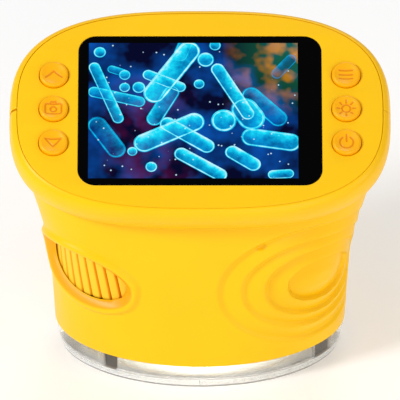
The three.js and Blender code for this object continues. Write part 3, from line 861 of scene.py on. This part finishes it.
def build_face():
    edge = oval_loop(PLATE_HALF_X + PLATE_GROWTH, FACE_HALF[1] - GAP + PLATE_GROWTH, HEAD_POWER, 400)
    window = rounded_loop(*WINDOW_HALF, WINDOW_CORNER)
    holes = [circle_loop(*button_spot(name), BUTTON_HOLE_R) for name in BUTTONS]
    plate = outline_plate("face_plate_skin", [edge, window, *holes], -PLATE_T, 0.0, PLATE_BEVEL,
                          MATERIALS["face_yellow"])
    place(plate, "housing", "face_yellow", "face_plate")
    pane = rounded_loop(WINDOW_HALF[0] - WINDOW_GAP, WINDOW_HALF[1] - WINDOW_GAP, WINDOW_CORNER)
    glass = outline_plate("screen_window_skin", [pane], *WINDOW_LEVELS, WINDOW_BEVEL, display_material())
    place(glass, "housing", "window_black", "screen_window")


# -------- the lit picture
PICTURE_X = middle("display_glass")[0]
PICTURE_HALF = (28.8, 21.6)

# Rods of the screen's picture, in millimetres from its middle: X, across, half length of the
# straight part, turn in degrees, half width, brightness.
RODS = [
    (-24.0, 5.6, 8.8, -68, 1.6, 0.85), (-21.1, 4.3, 6.4, -14, 1.7, 0.75),
    (-5.9, 12.2, 8.2, 55, 3.1, 1.0), (-8.0, 9.4, 4.8, -24, 1.6, 0.95),
    (-8.3, 1.5, 4.8, 61, 2.2, 0.75), (-23.8, -8.6, 4.6, -56, 2.7, 0.55),
    (-6.6, -7.1, 7.6, 26, 2.9, 0.95), (-1.7, -7.9, 6.4, -33, 2.2, 0.95),
    (2.0, -17.2, 6.2, -32, 2.0, 1.0), (10.8, 6.0, 8.2, -60, 1.9, 1.0),
    (15.0, -1.2, 1.6, -55, 3.8, 0.8), (19.6, 1.1, 5.2, -45, 2.6, 0.6),
    (21.3, -9.4, 5.4, -9, 2.8, 0.85), (13.6, -15.3, 3.4, -34, 2.1, 0.95),
    (24.0, -20.3, 2.2, 4, 1.4, 0.9), (-21.0, 12.6, 1.6, -20, 1.2, 0.7),
    (-2.5, 20.5, 3.0, 70, 2.0, 0.7), (25.0, 14.0, 3.0, 50, 1.6, 0.45),
]
DISCS = [  # X, across, radius
    (8.4, -3.3, 3.5), (-18.9, 11.3, 1.6), (-18.9, 7.3, 1.5), (-15.0, 7.3, 1.8), (3.4, 16.2, 2.3),
    (-16.7, -13.1, 1.4), (-11.5, -18.0, 1.6), (1.6, 8.4, 1.5), (-25.8, 18.6, 1.7), (6.0, 20.8, 1.6),
]
DISC_LIGHT = 0.9
NIGHT_BLUE = srgb(2, 4, 40)
CLOUD_BLUE = srgb(4, 82, 176)
MOSS_GREEN = srgb(20, 96, 62)
RUST = srgb(206, 140, 20)
PLUM = srgb(92, 8, 66)
SPECK = srgb(196, 236, 255)
GLOW_STOPS = [(0.0, (0, 0, 0, 1)), (0.2, srgb(2, 68, 156)), (0.42, srgb(0, 174, 236)),
              (0.66, srgb(24, 226, 250)), (1.0, srgb(222, 255, 255))]


def rod_group():
    """A node group: bright outline, fill and halo of one rod. A disc is a rod of no length."""
    group = bpy.data.node_groups.new("picture_rod", "ShaderNodeTree")
    for socket in ("X", "Y", "Centre X", "Centre Y", "Cos", "Sin", "Length", "Width"):
        group.interface.new_socket(socket, in_out="INPUT", socket_type="NodeSocketFloat")
    group.interface.new_socket("Light", in_out="OUTPUT", socket_type="NodeSocketFloat")
    start, end = group.nodes.new("NodeGroupInput"), group.nodes.new("NodeGroupOutput")

    def op(operation, *values):
        made = group.nodes.new("ShaderNodeMath")
        made.operation = operation
        for i, value in enumerate(values):
            feed(group, value, made.inputs[i])
        return made.outputs[0]

    g = start.outputs
    dx, dy = op("SUBTRACT", g["X"], g["Centre X"]), op("SUBTRACT", g["Y"], g["Centre Y"])
    along = op("ADD", op("MULTIPLY", dx, g["Cos"]), op("MULTIPLY", dy, g["Sin"]))
    across = op("SUBTRACT", op("MULTIPLY", dy, g["Cos"]), op("MULTIPLY", dx, g["Sin"]))
    past = op("MAXIMUM", op("SUBTRACT", op("ABSOLUTE", along), g["Length"]), 0.0)
    radius = op("SQRT", op("ADD", op("MULTIPLY", past, past), op("MULTIPLY", across, across)))
    share = op("DIVIDE", radius, g["Width"])
    off_line = op("ABSOLUTE", op("MULTIPLY", op("SUBTRACT", share, 0.86), 5.0))
    edge = op("SUBTRACT", 1.0, op("MINIMUM", off_line, 1.0))
    lit_side = op("MULTIPLY", op("DIVIDE", across, g["Width"]), 0.22)
    inner = op("ADD", op("ADD", 0.26, op("MULTIPLY", share, 0.32)), lit_side)
    fill = op("MULTIPLY", op("LESS_THAN", share, 1.0), inner)
    glow = op("MULTIPLY", op("POWER", op("MAXIMUM", op("SUBTRACT", 1.7, share), 0.0), 2.0), 0.09)
    light = op("ADD", op("MAXIMUM", op("MULTIPLY", edge, 0.95), fill), glow)
    group.links.new(light, end.inputs["Light"])
    return group


def picture_plane(s):
    """Millimetres right of and up from the picture's middle, as two sockets."""
    split = s.node("ShaderNodeSeparateXYZ", {"Vector": s.coords}).outputs
    x = s.math("SUBTRACT", s.math("MULTIPLY", split[0], 1 / MM), PICTURE_X)
    dy = s.math("SUBTRACT", s.math("MULTIPLY", split[1], 1 / MM), float(FACE[1]))
    dz = s.math("SUBTRACT", s.math("MULTIPLY", split[2], 1 / MM), float(FACE[2]))
    return x, s.math("ADD", s.math("MULTIPLY", dy, COS), s.math("MULTIPLY", dz, SIN))


def picture_shapes(s, x, y):
    """Light of every rod and disc at a point, the brightest winning."""
    rod, total = rod_group(), 0.0
    discs = [(cx, cy, 0.0, 0, radius, DISC_LIGHT) for cx, cy, radius in DISCS]
    for cx, cy, length, turn, width, light in RODS + discs:
        angle = math.radians(turn)
        values = {"X": x, "Y": y, "Centre X": cx, "Centre Y": cy, "Cos": math.cos(angle),
                  "Sin": math.sin(angle), "Length": length, "Width": width}
        made = s.node("ShaderNodeGroup", node_tree=rod)
        for key, value in values.items():
            feed(s.tree, value, made.inputs[key])
        total = s.math("MAXIMUM", total, s.math("MULTIPLY", made.outputs[0], light))
    return total


def picture_background(s, x, y, flat):
    """Blue clouds, plum towards the left and green and rust in the top right corner."""
    back = s.mix(s.ramp(s.noise_at(flat, 0.075, 3.0), 0.42, 0.66), NIGHT_BLUE, CLOUD_BLUE)
    patches = s.noise_at(flat, 0.16, 2.0)
    growth = s.mix(s.ramp(patches, 0.45, 0.6), MOSS_GREEN, RUST)
    corner = s.math("MULTIPLY", s.ramp(x, 8, 24), s.ramp(y, -2, 14))
    back = s.mix(s.math("MULTIPLY", corner, 0.85), back, growth)
    columns = s.math("MULTIPLY", s.ramp(x, -26, -14), s.ramp(x, 2, -12))
    rows = s.math("MULTIPLY", s.ramp(y, 12, 4), s.ramp(patches, 0.4, 0.6))
    plum = s.math("MULTIPLY", columns, rows)
    return s.mix(s.math("MULTIPLY", plum, 0.6), back, PLUM)


def display_material():
    """Black glossy window with a lit picture of glowing rods and discs behind it."""
    s = Shader("window_black")
    s.set(Base_Color=srgb(2, 2, 3), IOR=1.5, Specular_IOR_Level=0.03, Emission_Strength=1.0)
    s.rough(s.noise(40, 3), 0.05, 0.09)
    x, y = picture_plane(s)
    flat = s.node("ShaderNodeCombineXYZ", {"X": x, "Y": y}).outputs[0]
    mottle = s.noise_at(flat, 0.3, 5.0, 0.65)
    lit = s.math("MULTIPLY", picture_shapes(s, x, y), s.ramp(mottle, 0.3, 0.7, 0.7, 1.25))
    glow = s.node("ShaderNodeValToRGB", {"Fac": lit})
    stops = glow.color_ramp.elements
    for position, _ in GLOW_STOPS[1:-1]:
        stops.new(position)
    for stop, (position, color) in zip(stops, GLOW_STOPS):
        stop.position, stop.color = position, color
    cover = s.math("MINIMUM", s.math("MULTIPLY", lit, 1.6), 1.0)
    picture = s.mix(cover, picture_background(s, x, y, flat), glow.outputs[0])
    cells = s.node("ShaderNodeTexVoronoi", {"Vector": flat, "Scale": 0.42}, feature="F1")
    picture = s.mix(s.ramp(cells.outputs["Distance"], 0.06, 0.12, 1.0, 0.0), picture, SPECK)
    inside = s.math("MULTIPLY", s.math("LESS_THAN", s.math("ABSOLUTE", x), PICTURE_HALF[0]),
                    s.math("LESS_THAN", s.math("ABSOLUTE", y), PICTURE_HALF[1]))
    s.link(s.mix(inside, (0, 0, 0, 1), picture), "Emission Color")
    return s.material


# -------- buttons
def segment_distance(x, y, ax, ay, bx, by):
    dx, dy = bx - ax, by - ay
    share = np.clip(((x - ax) * dx + (y - ay) * dy) / (dx * dx + dy * dy), 0, 1)
    return np.hypot(x - ax - share * dx, y - ay - share * dy)


def polyline_distance(x, y, points):
    pairs = zip(points[:-1], points[1:])
    return np.minimum.reduce([segment_distance(x, y, *a, *b) for a, b in pairs])


def icon_distance(name, x, y):
    """Distance to the centre line of a button's engraved symbol."""
    if name == "up":
        return polyline_distance(x, y, [(-1.75, -0.75), (0, 0.95), (1.75, -0.75)])
    if name == "down":
        return polyline_distance(x, y, [(-1.7, 0.85), (1.7, 0.85), (0, -1.05), (-1.7, 0.85)])
    if name == "menu":
        return np.minimum.reduce([segment_distance(x, y, -1.4, h, 1.4, h) for h in (-1.05, 0, 1.05)])
    if name == "camera":
        frame_line = np.abs(box_distance(x, y + 0.15, 1.75, 1.25, 0.4))
        hump = polyline_distance(x, y, [(-0.75, 1.1), (-0.5, 1.6), (0.5, 1.6), (0.75, 1.1)])
        return np.minimum(np.minimum(frame_line, hump), np.abs(np.hypot(x, y + 0.15) - 0.65))
    if name == "light":
        rays = []
        for i in range(8):
            c, s = math.cos(i * math.pi / 4), math.sin(i * math.pi / 4)
            rays.append(segment_distance(x, y, 1.4 * c, 1.4 * s, 1.95 * c, 1.95 * s))
        return np.minimum(np.abs(np.hypot(x, y) - 0.9), np.minimum.reduce(rays))
    angle = np.abs(np.arctan2(x, y))
    arc = np.where(angle > 0.6, np.abs(np.hypot(x, y) - 1.45), 9)
    ends = np.minimum.reduce([np.hypot(x - side * 1.45 * math.sin(0.6), y - 1.45 * math.cos(0.6))
                              for side in (-1, 1)])
    return np.minimum(np.minimum(arc, ends), segment_distance(x, y, 0, 0.35, 0, 1.85))


ICON_SCALE = 1.26
ICON_LINE = (0.14, 0.34)  # half widths of the engraved line at its bottom and top
ICON_DEPTH = 0.16
CAP_R = 3.98
CAP_HEIGHT = 1.0  # over the face
CAP_EDGE = 0.75  # radius of the rounded rim
CAP_DISH = 0.75
CAP_SIDES = 144
# Radius and height of the cap's side, flange and plunger below the face.
CAP_SKIRT = [(CAP_R, -2.3), (5.0, -2.35), (5.0, -3.1), (1.6, -3.1), (1.6, -3.6), (0.06, -3.6)]


def ring_points(radius, height, angles):
    """Points of a circle about Z, where radius may be one number or one for each angle."""
    return np.stack([radius * np.cos(angles), radius * np.sin(angles),
                     np.full(len(angles), height)], axis=-1)


def build_button(name):
    """A dished cap with its engraved symbol, and the plunger that presses the switch."""
    flat_r = CAP_R - CAP_EDGE
    rim = flat_r + CAP_EDGE * np.sin(np.linspace(0.12, 1, 8) * math.pi / 2)
    radii = np.concatenate([np.linspace(0.06, flat_r, 40), rim])
    angles = np.arange(CAP_SIDES) * 2 * math.pi / CAP_SIDES
    r, a = np.meshgrid(radii, angles, indexing="ij")
    x, y = r * np.cos(a), r * np.sin(a)
    drop = CAP_EDGE - np.sqrt(np.maximum(CAP_EDGE ** 2 - np.maximum(r - flat_r, 0) ** 2, 0))
    dish = -CAP_DISH * (1 - np.minimum(r / flat_r, 1) ** 2)
    line = icon_distance(name, x / ICON_SCALE, y / ICON_SCALE) * ICON_SCALE
    cut = 1 - smooth_step(*ICON_LINE, line)
    top = np.stack([x, y, CAP_HEIGHT - drop + dish - ICON_DEPTH * cut], axis=-1)
    skirt = np.stack([ring_points(radius, z, angles) for radius, z in CAP_SKIRT])
    grid = np.concatenate([top, skirt])
    count = len(grid)
    faces = band_faces(count, CAP_SIDES, False)
    faces += [list(range(CAP_SIDES)), [(count - 1) * CAP_SIDES + i for i in range(CAP_SIDES)]]
    vertices = grid.reshape(-1, 3) + np.array([*button_spot(name), 0])
    turned = [tuple(head_matrix() @ (Vector(v) * MM) / MM) for v in vertices]
    piece = new_object(f"button_{name}_cap", turned, faces, MATERIALS["button_orange"], 50)
    weights = np.concatenate([cut.reshape(-1), np.zeros(len(CAP_SKIRT) * CAP_SIDES)])
    add_attribute(piece, "icon", weights)
    place(piece, f"button_{name}", "button_orange", f"button_{name}")


# -------- focus wheel
RIBS = 46
RIB_STEPS = 14
RIB_TWIST = -0.2
VALLEY_DEPTH = 1.0
VALLEY_WIDTH = 0.085  # as a share of a rib
CROWN = 0.09
RIM_FALL = [(0.0, 0.5), (0.15, 0.2), (0.5, 0.03)]  # distance from a wheel end, radius lost
HUB_R = (2.3, 4.2, 4.6)  # bore, boss and the foot of the boss
WEB_SINK = 0.5


def build_wheel():
    """A drum with rounded ribs that lean a little, sunk webs and a boss round the bore."""
    low, high = WHEEL_LOW[2], WHEEL_HIGH[2]
    sides = RIBS * RIB_STEPS
    drum = [(low + z, fall) for z, fall in RIM_FALL]
    drum += [(z, 0.0) for z in np.linspace(low + 1, high - 1, 15)]
    drum += [(high - z, fall) for z, fall in reversed(RIM_FALL)]
    angles = np.arange(sides) * 2 * math.pi / sides
    phase = (np.arange(sides) % RIB_STEPS) / RIB_STEPS
    valley = np.exp(-(np.minimum(phase, 1 - phase) / VALLEY_WIDTH) ** 2)
    crown = CROWN * np.cos((phase - 0.5) * math.pi)
    rows = []
    for z, fall in drum:
        turn = RIB_TWIST * (z - (low + high) / 2) / WHEEL_R
        radius = WHEEL_R - 0.12 - VALLEY_DEPTH * valley + crown - fall
        rows.append(ring_points(radius, z, angles + turn))
    bore, boss, foot = HUB_R
    half = [(WHEEL_R - 2.2, 0.0), (WHEEL_R - 2.8, WEB_SINK), (foot, WEB_SINK), (boss, 0.0), (bore, 0.0)]
    hub = [(r, high - sink) for r, sink in half] + [(r, low + sink) for r, sink in reversed(half)]
    rows += [ring_points(r, z, angles) for r, z in hub]
    grid = np.stack(rows) + np.array([WHEEL_X, 0, 0])
    faces = band_faces(len(rows), sides, True)
    piece = new_object("focus_wheel_ribbed", grid.reshape(-1, 3), faces, MATERIALS["wheel_yellow"], 45)
    # the groove weight puts painted shade into the valleys between the ribs
    weights = np.concatenate([np.tile(valley, len(drum)), np.zeros(len(hub) * sides)])
    add_attribute(piece, "groove", weights)
    place(piece, "focus_wheel", "wheel_yellow", "focus_wheel")


# -------- clear base
BASE_SIDES = 240
BASE_TOP = FOOT_Z - 0.06
SPIGOT_HALF = (38.0, 24.6)
SPIGOT_TOP = node_box("clear_base")[1][2]
RIB_ROWS = [(36.4, 23.2), (36.9, 23.9)]  # top and foot of the inner wall, where the ribs are
RIB_SPOTS = [(-24.7, -1), (32.9, -1), (-32.9, 1), (24.7, 1)]  # X, and front or back
RIB_HALF = 1.9
RIB_PULL = 0.955
# Half sizes and height down the dish's section: foot, outer wall, spigot, inner wall, floor.
BASE_OUTLINE = [((38.2, 25.5), 0.0), ((38.75, 26.0), 0.12), ((39.1, 26.3), 0.45), ((39.2, 26.4), 0.8),
                ((39.3, 26.5), 1.1), ((39.9, 27.0), 4.4),
                ((40.42, 27.42), BASE_TOP - 0.1), ((40.35, 27.35), BASE_TOP), (SPIGOT_HALF, BASE_TOP),
                (SPIGOT_HALF, SPIGOT_TOP - 0.3), ((37.75, 24.35), SPIGOT_TOP), ((36.4, 23.1), SPIGOT_TOP),
                (RIB_ROWS[0], BASE_TOP - 0.4), (RIB_ROWS[1], 2.6), ((36.2, 23.4), 1.75),
                ((35.4, 22.6), 1.4)]
FOOT_PAINTED_SHADE = (1.0, 1.0, 1.0, 0.5)  # painted shade: a dark contact-shadow line on the outline's first points
FLOOR_ROW = 14  # first of the two points where wall meets floor
# painted shade on the line where the wall meets the floor
FLOOR_PAINTED_SHADE = 0.8
APERTURE = [(13.3, 1.4), (13.0, 1.2), (13.0, 0.2), (13.3, 0.0)]  # radius and height
WARM_Z = (4.6, 7.0)  # the wall turns cream between these heights


def add_snap_ribs(grid, rows):
    """Pulls the inner wall inwards in four narrow upright blocks, and says which points moved."""
    moved = np.zeros(grid.shape[:2], dtype=bool)
    for k in rows:
        for x, side in RIB_SPOTS:
            near = (np.abs(grid[k, :, 0] - x) < RIB_HALF) & (grid[k, :, 1] * side > 0)
            moved[k] |= near
            grid[k, near, :2] *= RIB_PULL
    return moved


def build_base():
    """Clear oval dish: rounded foot, floor with a round aperture, spigot and four snap ribs."""
    ux, uy = oval_unit(BODY_POWER, BASE_SIDES)
    unit = np.stack([ux[:-1], uy[:-1], np.ones(BASE_SIDES)], axis=-1)
    rows = [unit * np.array([half_x, half_y, z]) for (half_x, half_y), z in BASE_OUTLINE]
    rows += [unit * np.array([radius, radius, z]) for radius, z in APERTURE]
    grid = np.stack(rows)
    ribs = [k for k, (half, _) in enumerate(BASE_OUTLINE) if half in RIB_ROWS]
    moved = add_snap_ribs(grid, ribs)
    faces = band_faces(len(rows), BASE_SIDES, True)
    piece = new_object("clear_base_skin", grid.reshape(-1, 3), faces, MATERIALS["clear_plastic"], 28)
    # painted shade weights: the foot's contact line, the wall's meeting with the floor and the snap ribs
    painted_shade = np.zeros(moved.shape)
    painted_shade[:len(FOOT_PAINTED_SHADE)] = np.array(FOOT_PAINTED_SHADE)[:, None]
    painted_shade[FLOOR_ROW:FLOOR_ROW + 2] = FLOOR_PAINTED_SHADE
    painted_shade[moved] = 1.0
    add_attribute(piece, "edge", painted_shade.reshape(-1))
    add_attribute(piece, "warm", smooth_step(*WARM_Z, grid[..., 2]).reshape(-1))
    place(piece, "base", "clear_plastic", "clear_base")


# -------- inner pieces keep their CAD shape
def dress_nodes():
    """Gives each CAD node the material of its slot. The diffuser under the lamps is lit."""
    slots = {part["node"]: part["material_slot"] for part in frame["record"]["subparts"]}
    slots["light_diffuser"] = "lit_diffuser"
    for name, node in frame["nodes"].items():
        material = MATERIALS.get(slots[name])
        if material is None:
            continue
        node.data.materials.clear()
        node.data.materials.append(material)


# -------- camera, floor and lights
FLOOR_SIZE = 3.0
WORLD_STRENGTH = 0.47
WHITE = (1, 1, 1)
LAMP_WARM = (1.0, 0.84, 0.58)
# Name, place, size, power in watts, colour.
LIGHTS = [
    ("key", (-0.8, -0.45, 0.7), 0.3, 6.4, WHITE),
    ("back", (0.2, 0.9, 0.8), 0.6, 2.2, WHITE),
    ("warm", (0.95, -0.5, 0.4), 0.5, 2.4, LAMP_WARM),
    ("front", (0.3, -1.05, 0.3), 0.6, 1.8, WHITE),
]
CAMERA_DISTANCE = 2.2
CAMERA_ELEVATION = math.radians(33)
VIEW_WIDTH = 0.1109
SENSOR = 36.0
LOOK_AT = Vector((0.0, 0.0, 0.0450))


def build_camera():
    data = bpy.data.cameras.new("camera")
    data.sensor_width = SENSOR
    data.lens = SENSOR * CAMERA_DISTANCE / VIEW_WIDTH
    data.clip_end = 20
    camera = bpy.data.objects.new("camera", data)
    away = Vector((0, -math.cos(CAMERA_ELEVATION), math.sin(CAMERA_ELEVATION)))
    camera.location = LOOK_AT + away * CAMERA_DISTANCE
    camera.rotation_euler = (-away).to_track_quat("-Z", "Y").to_euler()
    bpy.context.scene.collection.objects.link(camera)
    bpy.context.scene.camera = camera


def build_floor():
    mesh = bpy.data.meshes.new("floor")
    corners = [(x * FLOOR_SIZE, y * FLOOR_SIZE, 0) for x, y in ((-1, -1), (1, -1), (1, 1), (-1, 1))]
    mesh.from_pydata(corners, [], [(0, 1, 2, 3)])
    floor = bpy.data.objects.new("floor", mesh)
    bpy.context.scene.collection.objects.link(floor)
    s = Shader("floor_pale")
    s.link(s.mix(s.noise(6), (0.92, 0.93, 0.95, 1), (0.94, 0.95, 0.97, 1)), "Base Color")
    s.set(Roughness=0.6, Specular_IOR_Level=0.1, Emission_Color=(1, 1, 1, 1), Emission_Strength=0.13)
    mesh.materials.append(s.material)


def area_light(name, location, size, power, color):
    data = bpy.data.lights.new(name, "AREA")
    data.shape = "DISK"
    data.size = size
    data.energy = power
    data.color = color
    light = bpy.data.objects.new(name, data)
    light.location = location
    light.rotation_euler = (LOOK_AT - Vector(location)).to_track_quat("-Z", "Y").to_euler()
    bpy.context.scene.collection.objects.link(light)


def build_lights():
    world = bpy.data.worlds.new("studio")
    world.use_nodes = True
    background = world.node_tree.nodes["Background"].inputs
    background["Color"].default_value = (1, 1, 1, 1)
    background["Strength"].default_value = WORLD_STRENGTH
    bpy.context.scene.world = world
    for light in LIGHTS:
        area_light(*light)
    bpy.context.scene.view_settings.view_transform = "Standard"


build_camera()
build_floor()
build_lights()
dress_nodes()
build_shells()
build_screw_tubes()
build_face()
for button_name in BUTTONS:
    build_button(button_name)
build_wheel()
build_base()
